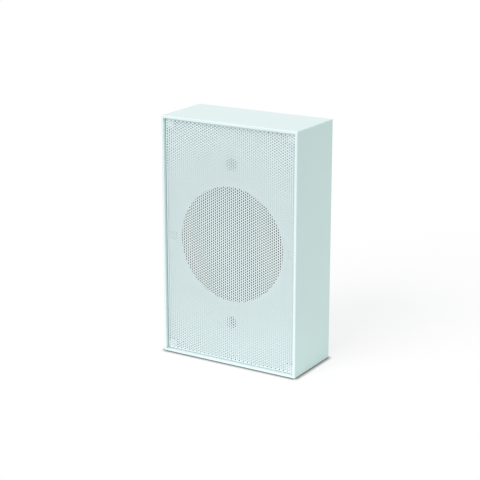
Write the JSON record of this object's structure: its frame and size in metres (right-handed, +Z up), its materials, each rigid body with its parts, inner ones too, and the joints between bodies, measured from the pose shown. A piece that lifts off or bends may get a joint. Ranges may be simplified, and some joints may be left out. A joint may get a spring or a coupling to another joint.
{
  "type": "wall speaker",
  "caption": "Small box wall speaker: painted mitred cabinet, recessed perforated grille, one full-range driver, line transformer, rear screw terminals and keyhole hangers.",
  "frame": {"origin": "middle of the cabinet's footprint, on its underside", "axes": "+Z up along the height, +X to the right seen from the front, +Y from the grille to the wall"},
  "size_m": [0.175, 0.08, 0.28],
  "materials": {
    "cabinet_paint": "satin",
    "grille_paint": "satin",
    "raw_board": "matte",
    "zinc_screws": "satin",
    "fleece": "matte",
    "white_foam": "matte",
    "basket_lacquer": "satin",
    "gasket_felt": "matte",
    "surround_cloth": "satin",
    "cone_paper": "matte",
    "former_paper": "matte",
    "copper_wire": "gloss",
    "spider_cloth": "matte",
    "plated_steel": "satin",
    "ferrite": "matte",
    "hard_paper": "matte",
    "tag_brass": "satin",
    "core_iron": "satin",
    "bobbin_plastic": "satin",
    "winding_tape": "satin",
    "red_lead": "satin",
    "green_lead": "satin",
    "dish_plastic": "matte",
    "block_plastic": "satin"
  },
  "bodies": {
    "cabinet": {"left_side_board": "cabinet_paint", "right_side_board": "cabinet_paint", "top_board": "cabinet_paint", "bottom_board": "cabinet_paint", "front_baffle": "cabinet_paint", "grille": "grille_paint", "back_panel": "raw_board", "left_batten": "raw_board", "right_batten": "raw_board", "top_batten": "raw_board", "bottom_batten": "raw_board", "back_panel_screws": "zinc_screws", "driver_screws": "zinc_screws", "transformer_screws": "zinc_screws", "dish_screws": "zinc_screws", "terminal_screws": "zinc_screws", "hanger_screws": "zinc_screws", "damping_mat": "fleece", "grille_pads": "white_foam", "driver_basket": "basket_lacquer", "mounting_gasket": "gasket_felt", "cone_surround": "surround_cloth", "tinsel_leads": "copper_wire", "spider": "spider_cloth", "magnet_top_plate": "plated_steel", "magnet_back_plate": "plated_steel", "transformer_strap": "plated_steel", "left_hanger_plate": "plated_steel", "right_hanger_plate": "plated_steel", "ferrite_magnet": "ferrite", "tag_board": "hard_paper", "solder_tags": "tag_brass", "transformer_core": "core_iron", "transformer_bobbin": "bobbin_plastic", "transformer_winding": "winding_tape", "driver_leads": "red_lead", "input_leads": "green_lead", "connection_dish": "dish_plastic", "terminal_block": "block_plastic"},
    "cone_assembly": {"cone": "cone_paper", "dust_cap": "cone_paper", "voice_coil_former": "former_paper", "voice_coil_winding": "copper_wire"}
  },
  "joints": [
    {"name": "cone_travel", "type": "slide", "parent": "cabinet", "child": "cone_assembly", "axis": [0, -1, 0], "range_m": [-0.002, 0.002], "stiffness_N_per_m": 1200, "deforming": ["cone_surround", "spider", "tinsel_leads"]}
  ]
}
